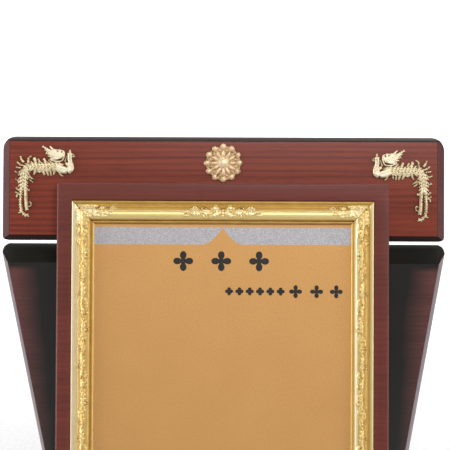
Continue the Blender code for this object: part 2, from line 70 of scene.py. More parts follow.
def only(piece):
    """Makes a piece the only one selected, and the active one."""
    bpy.ops.object.select_all(action="DESELECT")
    piece.select_set(True)
    bpy.context.view_layer.objects.active = piece


def named(name):
    piece = bpy.context.object
    piece.name = name
    piece.data.name = name
    return piece


def apply_place(piece):
    only(piece)
    bpy.ops.object.transform_apply(location=True, rotation=True, scale=True)


def block(name, low, high):
    bpy.ops.object.select_all(action="DESELECT")
    bpy.ops.mesh.primitive_cube_add(size=1, location=(low + high) / 2, scale=high - low)
    piece = named(name)
    apply_place(piece)
    return piece


def pick_edges(piece, wanted):
    """Goes into edit mode with those edges selected whose two ends pass the test."""
    only(piece)
    bpy.ops.object.mode_set(mode="EDIT")
    bpy.ops.mesh.select_mode(type="EDGE")
    bpy.ops.mesh.select_all(action="DESELECT")
    bm = bmesh.from_edit_mesh(piece.data)
    for edge in bm.edges:
        edge.select_set(wanted(edge.verts[0].co, edge.verts[1].co))
    bmesh.update_edit_mesh(piece.data)


def bevel_edges(piece, wanted, width, segments=1):
    """Bevels the edges whose two ends pass the test."""
    pick_edges(piece, wanted)
    bpy.ops.mesh.bevel(offset=width, segments=segments, affect="EDGES", clamp_overlap=False)
    bpy.ops.object.mode_set(mode="OBJECT")


def cut(piece, tool, operation):
    """Applies a Boolean with another piece, and removes that piece."""
    modifier = piece.modifiers.new("cut", "BOOLEAN")
    modifier.operation = operation
    modifier.object = tool
    only(piece)
    bpy.ops.object.modifier_apply(modifier=modifier.name)
    bpy.data.objects.remove(tool)


def soften(piece, width=ARRIS):
    """Rounds every arris that is left, and smooths the shading."""
    angle = math.radians(20)
    modifier = piece.modifiers.new("arris", "BEVEL")
    modifier.width = width
    modifier.segments = 3
    modifier.limit_method = "ANGLE"
    modifier.angle_limit = angle
    only(piece)
    bpy.ops.object.modifier_apply(modifier=modifier.name)
    bpy.ops.object.shade_smooth_by_angle(angle=angle)


def board(name, low, high, top_corner, low_corner):
    """A board with mitred chamfers along its front edges and an outline that is rounded through them."""
    piece = block(name, low, high)
    front = low.y + HAIR
    bevel_edges(piece, lambda a, b: a.y < front and b.y < front, BOARD_CHAMFER)
    for vertex in piece.data.vertices:
        if vertex.co.y < front:
            vertex.co.x -= math.copysign(END_CHAMFER_EXTRA, vertex.co.x)
    spare = Vector((0, SPARE, 0))
    outline = block(name + "_outline", low - spare, high + spare)
    middle = (low.z + high.z) / 2

    def across(a, b):
        return abs(a.y - b.y) > SPARE

    bevel_edges(outline, lambda a, b: across(a, b) and min(a.z, b.z) > middle, top_corner, segments=12)
    bevel_edges(outline, lambda a, b: across(a, b) and max(a.z, b.z) < middle, low_corner, segments=8)
    cut(piece, outline, "INTERSECT")
    soften(piece)
    return piece


def face_and_edges(piece, face_finish, edge_finish, side_finish):
    """The front face takes the first material, the edges the second, and those at the ends the third."""
    for finish in (face_finish, edge_finish, side_finish):
        piece.data.materials.append(finish)
    for polygon in piece.data.polygons:
        at_end = abs(polygon.normal.x) > SIDEWAYS and polygon.normal.y < 0.01
        polygon.material_index = 0 if -polygon.normal.y > FORWARDS else 2 if at_end else 1


def turn_into_place(piece, turn):
    piece.rotation_euler = (turn, 0, 0)
    apply_place(piece)


class Shader:
    """A material's nodes, added one by one, with a Principled BSDF at the end."""

    def __init__(self, name, roughness, metallic=0.0):
        self.material = bpy.data.materials.new(name)
        self.material.use_nodes = True
        self.tree = self.material.node_tree
        self.surface = self.tree.nodes["Principled BSDF"]
        self.look(Roughness=roughness, Metallic=metallic)

    def fill(self, sockets, values):
        """Links each socket to an output, or gives it a value."""
        for socket, value in zip(sockets, values):
            if hasattr(value, "links"):
                self.tree.links.new(value, socket)
            elif socket.type == "RGBA":
                socket.default_value = (*value, 1.0)
            else:
                socket.default_value = value

    def set(self, node, **values):
        self.fill([node.inputs[name.replace("_", " ")] for name in values], values.values())

    def look(self, **values):
        self.set(self.surface, **values)

    def add(self, kind, output=0, settings=(), **values):
        node = self.tree.nodes.new("ShaderNode" + kind)
        for key, value in dict(settings).items():
            setattr(node, key, value)
        self.set(node, **values)
        return node.outputs[output]

    def math(self, operation, first, second=0.5, third=0.5, clamp=False):
        node = self.tree.nodes.new("ShaderNodeMath")
        node.operation = operation
        node.use_clamp = clamp
        self.fill(node.inputs, (first, second, third))
        return node.outputs[0]

    def ramp(self, factor, stops):
        """A colour ramp through (place, colour) stops."""
        node = self.tree.nodes.new("ShaderNodeValToRGB")
        while len(node.color_ramp.elements) < len(stops):
            node.color_ramp.elements.new(0.5)
        for element, (place, colour) in zip(node.color_ramp.elements, stops):
            element.position = place
            element.color = (*colour, 1.0)
        self.tree.links.new(factor, node.inputs["Fac"])
        return node.outputs["Color"]

    def mix(self, factor, first, second):
        node = self.tree.nodes.new("ShaderNodeMix")
        node.data_type = "RGBA"
        self.fill([node.inputs[i] for i in (0, 6, 7)], (factor, first, second))
        return node.outputs[2]

    def place(self, turn=0.0, stretch=(1, 1, 1)):
        """Object coordinates in metres, made square to a turned board, then stretched along X, Y and Z."""
        squared = self.add("Mapping", Vector=self.add("TexCoord", 3), Rotation=(-turn, 0, 0))
        return self.add("Mapping", Vector=squared, Scale=stretch)

    def noise(self, stretch, detail=3.0, roughness=0.5, turn=0.0):
        """Noise with about that many waves to the metre along X, Y and Z, or the same along all three."""
        if not isinstance(stretch, tuple):
            stretch = (stretch, stretch, stretch)
        where = self.place(turn, stretch)
        return self.add("TexNoise", 0, Vector=where, Scale=1.0, Detail=detail, Roughness=roughness)

    def bump(self, height, distance, strength):
        self.look(Normal=self.add("Bump", Height=height, Distance=distance, Strength=strength))


def wood(name, turn, dark, middle, light, roughness, coat, coat_roughness, line):
    """Veneer with its grain running along X: wavering dark lines, fine streaks and short open pores."""
    shader = Shader(name, roughness)
    waver = shader.noise((2.6, 3, 22), 2.0, 0.5, turn)
    across = shader.add("SeparateXYZ", 2, Vector=shader.place(turn))
    waver = shader.math("MULTIPLY", waver, GRAIN_WAVER)
    phase = shader.math("MULTIPLY_ADD", across, 2 * math.pi / GRAIN_GAP, waver)
    lines = shader.math("MULTIPLY_ADD", shader.math("SINE", phase), 0.5, 0.5)
    lines = shader.math("POWER", lines, GRAIN_SHARPNESS)
    patch = shader.noise((4, 60, 70), 2.0, 0.5, turn)
    lines = shader.math("MULTIPLY", lines, shader.math("MULTIPLY", patch, 1.5))
    bands = shader.noise((1.6, 60, 75), 3.0, 0.6, turn)
    streaks = shader.noise((9, 500, 900), 4.0, 0.65, turn)
    pores = shader.noise((80, 1100, 2200), 2.0, 0.5, turn)
    tone = shader.math("MULTIPLY_ADD", bands, 0.42, shader.math("MULTIPLY", streaks, 0.62))
    tone = shader.math("MULTIPLY_ADD", lines, -line, tone)
    colour = shader.ramp(tone, ((0.24, dark), (0.46, middle), (0.66, light)))
    open_pore = shader.math("SUBTRACT", pores, 0.60, clamp=True)
    open_pore = shader.math("MULTIPLY", open_pore, 4.0, clamp=True)
    colour = shader.mix(open_pore, colour, tuple(0.5 * c for c in dark))
    shader.look(Base_Color=colour, Specular_IOR_Level=0.25)
    shader.look(Coat_Weight=coat, Coat_Roughness=coat_roughness, Coat_IOR=1.45)
    relief = shader.math("MULTIPLY_ADD", open_pore, -1.0, shader.math("MULTIPLY", streaks, 0.5))
    shader.bump(relief, 0.05 * MM, 0.3)
    return shader


def stain(name, turn, colour, wear_and_highlight, roughness, coat, specular):
    """Stain over planed edges, a little thinner here and there, under lacquer. Some colours given to it are
    painted light or painted shade.
    """
    shader = Shader(name, roughness)
    cloud = shader.noise((14, 60, 60), 4.0, 0.6, turn)
    streak = shader.noise((12, 500, 800), 3.0, 0.6, turn)
    tone = shader.math("MULTIPLY_ADD", cloud, 0.6, shader.math("MULTIPLY", streak, 0.4))
    shader.look(Base_Color=shader.ramp(tone, ((0.35, colour), (0.70, wear_and_highlight))))
    shader.look(Coat_Weight=coat, Coat_Roughness=0.2, Specular_IOR_Level=specular)
    shader.bump(shader.noise(60, 2.0, 0.5, turn), 0.08 * MM, 0.4)
    return shader.material


ROSEWOOD = wood("rosewood_veneer", FRONT_TURN, (0.110, 0.025, 0.018), (0.218, 0.042, 0.024),
                (0.295, 0.058, 0.030), roughness=0.36, coat=0.20, coat_roughness=0.10, line=0.17).material
DARK_EDGE = stain("dark_stained_edge", FRONT_TURN, (0.018, 0.009, 0.007), (0.032, 0.013, 0.010),
                  roughness=0.5, coat=0.08, specular=0.12)
# Painted light: the ends' chamfers take the edge stain painted a lighter purplish brown, for the side lamps on
# them
END_PAINTED_LIGHT = stain("end_stain_painted_light", FRONT_TURN, (0.085, 0.028, 0.028), (0.130, 0.042, 0.042),
                  roughness=0.45, coat=0.04, specular=0.12)

header_low, header_high = square_box("header_board", FRONT_TURN)
header = board("header", header_low, header_high, TOP_CORNER, LOW_CORNER)
face_and_edges(header, ROSEWOOD, DARK_EDGE, END_PAINTED_LIGHT)
turn_into_place(header, FRONT_TURN)
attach(header, "front")
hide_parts("header_board")

# -------------------------------------------------------------------------------------------- Face panel
# The upright board that carries the gilt frame, veneered in a quieter red-brown with a satin lacquer. Its
# foot is cut level for the lean, and a shallow recess in its front takes the frame.

PANEL_CHAMFER = 1.1 * MM
POCKET_DEPTH = 3.0 * MM
POCKET_CLEARANCE = 0.5 * MM
PANEL_ARRIS = 0.3 * MM

PANEL_VENEER = wood("panel_veneer", FRONT_TURN, (0.100, 0.027, 0.022), (0.150, 0.037, 0.028),
                    (0.200, 0.048, 0.035), roughness=0.42, coat=0.12, coat_roughness=0.22, line=0.08).material

panel_low, panel_high = square_box("face_panel", FRONT_TURN)
frame_low, frame_high = square_box("frame_left", FRONT_TURN)
frame_high.x = -frame_low.x
# The foot's back edge stands higher than its front edge
foot_drop = (panel_high.y - panel_low.y) * math.tan(-FRONT_TURN)

panel = block("panel", panel_low, panel_high)
for vertex in panel.data.vertices:
    if vertex.co.z < panel_low.z + HAIR and vertex.co.y > panel_high.y - HAIR:
        vertex.co.z += foot_drop
bevel_edges(panel, lambda a, b: max(a.y, b.y) < panel_low.y + HAIR, PANEL_CHAMFER)
margin = Vector((POCKET_CLEARANCE, 0, POCKET_CLEARANCE))
pocket_low = Vector((frame_low.x, panel_low.y - SPARE, frame_low.z)) - margin
pocket_high = Vector((frame_high.x, panel_low.y + POCKET_DEPTH, frame_high.z)) + margin
cut(panel, block("pocket", pocket_low, pocket_high), "DIFFERENCE")
soften(panel, PANEL_ARRIS)
panel.data.materials.append(PANEL_VENEER)
turn_into_place(panel, FRONT_TURN)
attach(panel, "front")
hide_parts("face_panel")

# -------------------------------------------------------------------------------------------- Gilt frame
# Four lengths of gold-plated resin moulding, mitred and screwed on from behind: a thin rim, a stippled cove, a
# round and an inner lip, with leaf relief cast over them. Painted light and shade lie in their paleness: a
# painted highlight along a strip and the rim of each side length, painted shade on its lip, and on the top and
# bottom lengths painted shade on the rim, cove and lip and a painted highlight on the round.

RAIL = 16.8 * MM
RAIL_BACK = frame_high.y
LIP_REACH = 3.5 * MM  # of the rebate under the lip
LIP_UNDER = 4.9 * MM
MITRE_GAP = 0.3 * MM
STEP_ALONG, STEP_ACROSS = 0.42 * MM, 0.36 * MM  # of the mesh
# Zones of the section, in from the outer edge
RIM_END = 2.6 * MM
COVE_MIDDLE, COVE_HALF = 4.7 * MM, 2.0 * MM
LIP_START = 14.6 * MM
RELIEF_END = 15.4 * MM
LOW_RELIEF = 0.15 * MM
VINE_START, VINE_PITCH, VINE_MIDDLE = 34.0, 27.0, 9.0  # in millimetres
# Paleness of zones, all painted light: the side lengths' strip and rim are painted highlights, their lip and the
# top and bottom lengths' rim and lip painted shade
PAINTED_HIGHLIGHT, RIM_PAINTED_HIGHLIGHT, LIP_PAINTED_SHADE, PLAIN_EDGE_PAINTED_SHADE = 0.95, 0.80, 0.42, 0.22  # how pale, from 0 to 1
# The section: distance in, height above the back
SECTION = np.array((
    (0.0, 5.2), (0.35, 6.1), (1.0, 6.45), (2.2, 6.3), (3.0, 5.7), (3.5, 5.0), (4.2, 4.8), (5.2, 5.2), (6.3, 6.3),
    (7.2, 8.1), (8.4, 9.2), (10.0, 9.6), (11.8, 9.55), (13.2, 9.0), (13.9, 7.9), (14.2, 6.6), (14.7, 6.0),
    (15.2, 6.5), (15.9, 6.6), (16.5, 6.2), (16.8, 5.9),
)) * MM


def leaf(S, T, root, angle, length, width, bend=0.0, lift=0.7, lobes=4):
    """Height of a lobed leaf grooved down its middle, in millimetres, at S along and T in from the edge."""
    s, t = S / MM - root[0], T / MM - root[1]
    turn = math.radians(angle)
    along = (s * math.cos(turn) + t * math.sin(turn)) / length
    aside = (t * math.cos(turn) - s * math.sin(turn)) - bend * length * along**2
    inside = (along > 0) & (along < 1)
    part = np.clip(along, 0, 1)
    edge = np.abs(np.sin(math.pi * lobes * (part + 0.10 * np.abs(aside) / width)))
    half = 1.3 * width * np.sin(math.pi * part**0.75) ** 0.8 * (0.55 + 0.45 * edge)
    share = np.abs(aside) / np.maximum(half, 1e-3)
    dome = np.sqrt(np.clip(1 - share**2, 0, 1)) * (0.55 + 0.45 * np.sin(math.pi * part))
    groove = 0.38 * np.exp(-((aside / 0.22) ** 2)) + 0.12 * (1 - edge) * (share > 0.2)
    return np.where(inside & (share < 1), lift * np.clip(dome - groove, 0.18, 1), 0.0)


def scroll(S, T, centre, radius, start, sweep, width, lift, inward):
    """Height of a round stem that runs along an arc and winds inwards."""
    s, t = S / MM, T / MM
    height = np.zeros_like(S)
    for step in np.linspace(0, 1, 40):
        angle = math.radians(start + sweep * step)
        reach = radius * (1 - inward * step)
        ds = s - centre[0] - reach * math.cos(angle)
        dt = t - centre[1] - reach * math.sin(angle)
        thick = width * (1 - 0.45 * step)
        height = np.maximum(height, lift * np.sqrt(np.clip(1 - (ds**2 + dt**2) / thick**2, 0, 1)))
    return height


def corner_leaves(S, T):
    """Acanthus leaves that spring from the mitre and run out along the length."""
    relief = leaf(S, T, (6.0, 6.0), 6, 17, 2.6, 0.06, 0.95, 5)
    for root, angle, length, width, bend in (
        ((5.0, 8.6), 14, 13, 1.9, 0.16),
        ((4.0, 4.2), -3, 12, 1.8, -0.12),
        ((13.0, 9.0), 24, 9, 1.5, -0.15),
        ((12.0, 5.2), -18, 8, 1.5, 0.18),
        ((19.0, 8.2), 4, 12, 1.7, 0.10),
        ((21.0, 10.5), 26, 6.5, 1.2, -0.20),
        ((20.0, 6.0), -26, 6.0, 1.2, 0.25),
        ((26.5, 7.0), -8, 7.5, 1.2, -0.10),
        ((8.0, 12.0), 30, 5.0, 1.2, -0.15),
    ):
        relief = np.maximum(relief, leaf(S, T, root, angle, length, width, bend))
    return np.maximum(relief, scroll(S, T, (30.5, 6.0), 1.9, 180, 300, 0.6, 0.6, 0.5))


def centre_spray(S, T):
    """Half of the cartouche: scrolls and leaves running out from the middle, where S is 0."""
    relief = leaf(S, T, (-1.0, 12.6), -90, 8.5, 2.2, 0.0, 1.0, 3)
    for root, angle, length, width, bend in (
        ((1.0, 8.5), 16, 10, 1.7, 0.14),
        ((1.5, 7.0), -24, 8, 1.6, 0.20),
        ((8.5, 9.6), -22, 8, 1.6, 0.22),
        ((9.0, 7.0), 18, 9, 1.7, -0.14),
        ((16.0, 9.4), 8, 9, 1.6, -0.18),
        ((17.0, 6.4), -10, 8, 1.4, 0.16),
        ((23.5, 8.6), -14, 7.5, 1.2, 0.10),
        ((24.0, 10.2), 14, 5.5, 1.0, -0.10),
    ):
        relief = np.maximum(relief, leaf(S, T, root, angle, length, width, bend, 0.85))
    for centre, radius, start, sweep in (((5.5, 5.2), 1.7, 200, 320), ((14.0, 5.6), 1.9, 180, -320),
                                         ((12.6, 11.0), 1.5, 90, -300), ((21.0, 5.6), 1.6, 200, 300)):
        relief = np.maximum(relief, scroll(S, T, centre, radius, start, sweep, 0.62, 0.75, 0.5))
    return relief


def vine(S, T, length):
    """A waving stem with paired leaves and tendrils, all the way along the length."""
    relief = np.zeros_like(S)
    run = length / MM - 2 * VINE_START
    count = int(run / VINE_PITCH) + 1
    pitch = run / count
    for i in range(count):
        s = VINE_START + pitch * i
        side = 1 if i % 2 else -1
        for ahead, share, up, angle, reach, width, bend, lift, lobes in (
            (-2, 0, -1.6, 13, 0.62, 1.9, -0.14, 0.80, 5),
            (0, 0.30, 0.6, -24, 0.42, 1.4, 0.22, 0.65, 4),
            (0, 0.42, 1.5, 22, 0.34, 1.2, -0.22, 0.60, 3),
            (0, 0.62, -0.6, -2, 0.40, 1.3, 0.12, 0.70, 4),
        ):
            root = (s + ahead + share * pitch, VINE_MIDDLE + side * up)
            one = leaf(S, T, root, side * angle, reach * pitch, width, side * bend, lift, lobes)
            relief = np.maximum(relief, one)
        for share, up, radius, start, sweep, width, lift in (
            (0.80, 2.2, 1.7, 180 * (side > 0), 300, 0.55, 0.60),
            (0.28, -3.0, 1.4, 180 * (side < 0), -280, 0.50, 0.55),
        ):
            centre = (s + share * pitch, VINE_MIDDLE + side * up)
            relief = np.maximum(relief, scroll(S, T, centre, radius, start, sweep, width, lift, 0.55))
    return relief


def rail_relief(S, T, length, full):
    """Leaf relief of one length: at its corners, and in the middle or all along it."""
    relief = np.maximum(corner_leaves(S, T), corner_leaves(length - S, T))
    if full:
        return np.maximum(relief, vine(S, T, length))
    off = S - length / 2
    return np.maximum(relief, np.where(off >= 0, centre_spray(off, T), centre_spray(-off, T)))


def gilt_rail(name, start, along, inward, highlight_strip):
    """One mitred length from an outer corner. If a strip of it takes a painted highlight, leaves run all along
    it.
    """
    full = highlight_strip is not None
    span = (frame_high - frame_low).dot(Vector([abs(c) for c in along]))
    across = np.concatenate((np.arange(0, RAIL, STEP_ACROSS), [RAIL]))
    heights = np.interp(across, SECTION[:, 0], SECTION[:, 1])
    back_edges = ((RAIL, LIP_UNDER), (RAIL - LIP_REACH, LIP_UNDER), (RAIL - LIP_REACH, 0), (0, 0))
    T = np.concatenate((across, [t for t, _ in back_edges], [0]))
    H = np.concatenate((heights, [h for _, h in back_edges], [heights[0]]))
    columns, rows = int(span / STEP_ALONG), len(T) - 1
    bpy.ops.object.select_all(action="DESELECT")
    bpy.ops.mesh.primitive_grid_add(x_subdivisions=columns, y_subdivisions=rows, size=1)
    piece = named(name)
    count = len(piece.data.vertices)
    grid = np.empty(3 * count)
    piece.data.vertices.foreach_get("co", grid)
    grid = grid.reshape(-1, 3) + 0.5
    row = np.rint(grid[:, 1] * rows).astype(int)
    inset = T[row] + MITRE_GAP / 2 * math.sqrt(2)
    S = inset + grid[:, 0] * (span - 2 * inset)
    on_front = row < len(across)
    relief = np.where(on_front, rail_relief(S, T[row], span, full) * MM, 0)
    shoulder = np.clip((T[row] - RIM_END) / (1.2 * MM), 0, 1) * np.clip((RELIEF_END - T[row]) / (1.4 * MM), 0, 1)
    relief = relief * shoulder
    cove = np.clip(1 - np.abs(T[row] - COVE_MIDDLE) / COVE_HALF, 0, 1) * on_front
    height = H[row] + relief + np.clip(relief * 1.2, 0, 0.8 * MM) * cove
    corner, along, inward = np.array(start), np.array(along), np.array(inward)
    places = corner + S[:, None] * along + T[row][:, None] * inward
    places[:, 1] = RAIL_BACK - height
    piece.data.vertices.foreach_set("co", places.ravel())
    step = np.clip(1 - np.abs(T[row] - 14.4 * MM) / (0.7 * MM), 0, 1)
    near = np.clip(np.abs(relief) / (0.12 * MM), 0, 1)
    around = sum(rail_relief(S + ahead * MM, T[row] + aside * MM, span, full)
                 for ahead, aside in ((0.5, 0), (-0.5, 0), (0, 0.4)))
    ground = np.clip(around, 0, 1) * shoulder
    shade = np.clip(0.50 + relief / (0.8 * MM) * 0.30, 0, 1)
    bare = relief < LOW_RELIEF
    # Side lengths: painted a little darker overall, painted shade on the lip, a painted highlight on the rim and
    # along highlight_strip
    if full:
        shade = np.where(T[row] > LIP_START, LIP_PAINTED_SHADE, shade - 0.08)
        shade = np.where(T[row] < RIM_END, RIM_PAINTED_HIGHLIGHT, shade)
        wear_and_highlight = (T[row] >= highlight_strip[0]) & (T[row] < highlight_strip[1])
        shade = np.where(wear_and_highlight, PAINTED_HIGHLIGHT - 0.3 * ground * (1 - near), shade)
    # Top and bottom lengths: painted shade on the rim, the lip and the bare cove, and the rest painted paler, a
    # painted highlight on the round
    else:
        at_edge = (T[row] > LIP_START) | (T[row] < RIM_END)
        shade = np.where(at_edge, PLAIN_EDGE_PAINTED_SHADE, shade + 0.12 - 0.48 * cove * bare)
    shade = shade - (0.25 if full else 0.40) * step * bare
    shade = shade - 0.45 * ground * (1 - near)
    carved = np.clip(np.maximum(near, ground), 0, 1) * shoulder
    for label, values in (("relief", shade), ("carved", carved)):
        layer = piece.data.attributes.new(label, "FLOAT", "POINT")
        layer.data.foreach_set("value", np.clip(values, 0, 1))
    only(piece)
    bpy.ops.object.mode_set(mode="EDIT")
    bpy.ops.mesh.select_all(action="SELECT")
    bpy.ops.mesh.remove_doubles(threshold=0.001 * MM)
    bpy.ops.mesh.fill_holes(sides=0)
    bpy.ops.mesh.select_all(action="SELECT")
    bpy.ops.mesh.normals_make_consistent(inside=False)
    bpy.ops.object.mode_set(mode="OBJECT")
    bpy.ops.object.shade_smooth_by_angle(angle=math.radians(40))
    turn_into_place(piece, FRONT_TURN)
    return piece


def gilt():
    """Gold plating: brown in the recesses, pale on the high spots, with fine stipple and dark veins."""
    shader = Shader("gilt_plating", 0.3, 0.4)
    # The relief attribute holds each place's paleness, with the painted highlights and painted shade of
    # gilt_rail in it
    relief = shader.add("Attribute", 2, settings={"attribute_name": "relief"})
    cloud = shader.noise(120, 3.0)
    tone = shader.math("MULTIPLY_ADD", cloud, 0.16, shader.math("SUBTRACT", relief, 0.08))
    carved = shader.add("Attribute", 2, settings={"attribute_name": "carved"})
    veins = shader.noise(620, 3.0, 0.6)
    veins = shader.math("MULTIPLY", shader.math("SUBTRACT", veins, 0.53, clamp=True), 9.0, clamp=True)
    tone = shader.math("MULTIPLY_ADD", shader.math("MULTIPLY", veins, carved), -0.42, tone)
    colour = shader.ramp(tone, ((0.02, (0.17, 0.085, 0.016)), (0.30, (0.62, 0.36, 0.075)),
                                (0.55, (0.82, 0.59, 0.21)), (0.80, (0.92, 0.74, 0.36)),
                                (1.0, (1.0, 0.87, 0.60))))
    shader.look(Base_Color=colour)
    shader.look(Roughness=shader.math("MULTIPLY_ADD", tone, -0.16, 0.50))
    grit = shader.noise(1500, 2.0)
    hollow = shader.math("SUBTRACT", 0.75, tone, clamp=True)
    shader.bump(shader.math("MULTIPLY", grit, hollow), 0.25 * MM, 0.8)
    return shader.material


GILT = gilt()
CORNERS = {
    "bottom": ((frame_low.x, 0, frame_low.z), (1, 0, 0), (0, 0, 1)),
    "top": ((frame_low.x, 0, frame_high.z), (1, 0, 0), (0, 0, -1)),
    "left": ((frame_low.x, 0, frame_high.z), (0, 0, -1), (1, 0, 0)),
    "right": ((frame_high.x, 0, frame_high.z), (0, 0, -1), (-1, 0, 0)),
}
PAINTED_HIGHLIGHT_STRIPS = {"left": (0, 5.3 * MM), "right": (11.6 * MM, LIP_START)}  # where the side lengths get a painted highlight strip
for side, (start, along, inward) in CORNERS.items():
    rail = gilt_rail(f"gilt_{side}", start, along, inward, PAINTED_HIGHLIGHT_STRIPS.get(side))
    rail.data.materials.append(GILT)
    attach(rail, "front")
    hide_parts(f"frame_{side}")

# ------------------------------------------------------------------------------------- Plate and backer
# A thin brass plate, sand-blasted to a matte gold, with a glittering silver band along its top that parts
# at a point in the middle. A grey-brown board fills the frame's rebate behind it.

BAND_TOP = 2.6 * MM  # below the frame's inner edge
BAND_DROP = 15.4 * MM
BAND_POINT = 12.5 * MM  # how far the parting rises in the middle
BAND_FLARE = 15.6 * MM  # how far to each side it does
BAND_BLUR = 0.3 * MM

plate_low, plate_high = square_box("award_plate", FRONT_TURN)
sight_top = frame_high.z - RAIL


def plate_finish():
    shader = Shader("blasted_gold_plate", 0.5, 0.35)
    spot = shader.place(FRONT_TURN)
    x = shader.add("SeparateXYZ", 0, Vector=spot)
    z = shader.add("SeparateXYZ", 2, Vector=spot)
    out = shader.math("DIVIDE", shader.math("ABSOLUTE", x), BAND_FLARE)
    flare = shader.math("POWER", shader.math("SUBTRACT", 1.0, out, clamp=True), 1.9)
    edge = shader.math("MULTIPLY_ADD", flare, BAND_POINT, sight_top - BAND_DROP)
    band = shader.math("MULTIPLY_ADD", shader.math("SUBTRACT", z, edge), 1 / BAND_BLUR, 0.5, clamp=True)
    above = shader.math("SUBTRACT", sight_top - BAND_TOP, z)
    band = shader.math("MULTIPLY", band, shader.math("MULTIPLY_ADD", above, 1 / BAND_BLUR, 0.5, clamp=True))
    grit = shader.noise(1100, 3.0, 0.8, FRONT_TURN)
    cloud = shader.noise(28, 4.0, 0.55, FRONT_TURN)
    tone = shader.math("MULTIPLY_ADD", grit, 0.86, shader.math("MULTIPLY", cloud, 0.14))
    gold = shader.ramp(tone, ((0.30, (0.60, 0.30, 0.095)), (0.50, (0.70, 0.365, 0.118)),
                              (0.70, (0.80, 0.435, 0.150))))
    glitter = shader.add("TexVoronoi", 1, Vector=shader.place(FRONT_TURN, (2100, 2100, 2100)), Scale=1.0)
    sparkle = shader.add("SeparateColor", 0, Color=glitter)
    silver = shader.ramp(sparkle, ((0.0, (0.39, 0.37, 0.39)), (0.5, (0.48, 0.46, 0.48)),
                                   (1.0, (0.65, 0.63, 0.64))))
    shader.look(Base_Color=shader.mix(band, gold, silver))
    shader.bump(tone, 0.12 * MM, 0.5)
    return shader.material


def dress(node, finish):
    """Gives a CAD node a finish of its own."""
    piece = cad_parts[node]
    piece.data.materials.clear()
    piece.data.materials.append(finish)


def backer_finish():
    shader = Shader("grey_board", 0.9)
    fibre = shader.noise(300, 5.0, 0.7)
    colour = shader.ramp(fibre, ((0.3, (0.22, 0.16, 0.11)), (0.7, (0.40, 0.31, 0.22))))
    shader.look(Base_Color=colour)
    shader.bump(fibre, 0.1 * MM, 0.5)
    return shader.material


dress("award_plate", plate_finish())
dress("plate_backer", backer_finish())

# ------------------------------------------------------------------------------------------ Plate print
# Black ornament screen-printed on the plate: three four-petalled flowers over a row of small lozenges and
# flowers. The ink stands a few hundredths of a millimetre proud.

INK = 0.06 * MM
PETALS = 4


def petal_flower(x, z, size, waist):
    """Pointed petals round a centre, cut from one disc by drawing its rim in between them."""
    bpy.ops.object.select_all(action="DESELECT")
    bpy.ops.mesh.primitive_cylinder_add(vertices=8 * PETALS, radius=size, depth=INK, location=(x, 0, z),
                                        rotation=(math.radians(90), 0, 0))
    flower = bpy.context.object
    apply_place(flower)
    for vertex in flower.data.vertices:
        out = Vector((vertex.co.x - x, 0, vertex.co.z - z))
        angle = math.atan2(out.x, out.z)
        swell = abs(math.cos(PETALS * angle / 2)) ** 0.8
        out *= waist + (1 - waist) * swell
        vertex.co = Vector((x, vertex.co.y, z)) + out
    return flower


def ink_finish():
    shader = Shader("black_ink", 0.45)
    mottle = shader.noise(900, 3.0)
    colour = shader.ramp(mottle, ((0.3, (0.006, 0.006, 0.006)), (0.8, (0.03, 0.026, 0.02))))
    shader.look(Base_Color=colour)
    shader.bump(mottle, 0.02 * MM, 0.4)
    return shader.material


big_row, small_row = sight_top - 27.6 * MM, sight_top - 49.8 * MM
flowers = [petal_flower(x * MM, big_row, 7.4 * MM, 0.24) for x in (-29.0, -0.9, 27.0)]
flowers += [petal_flower(x * MM, small_row, 3.0 * MM, 0.60) for x in np.linspace(5.0, 43.0, 6)]
flowers += [petal_flower(x * MM, small_row, 4.8 * MM, 0.26) for x in (54.0, 69.5, 84.0)]
BLACK_INK = ink_finish()
for number, flower in enumerate(flowers, 1):
    only(flower)
    named(f"print_{number}")
    flower.data.transform(Matrix.Translation((0, plate_low.y - INK / 2 - HAIR, 0)))
    flower.data.materials.append(BLACK_INK)
    turn_into_place(flower, FRONT_TURN)
    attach(flower, "front")

# -------------------------------------------------------------------------------------------- Phoenixes
# Cast openwork ornaments in pale gold, pinned into the header's upper corners: a long-tailed bird whose
# tail turns down into two streamers. The right one mirrors the left.

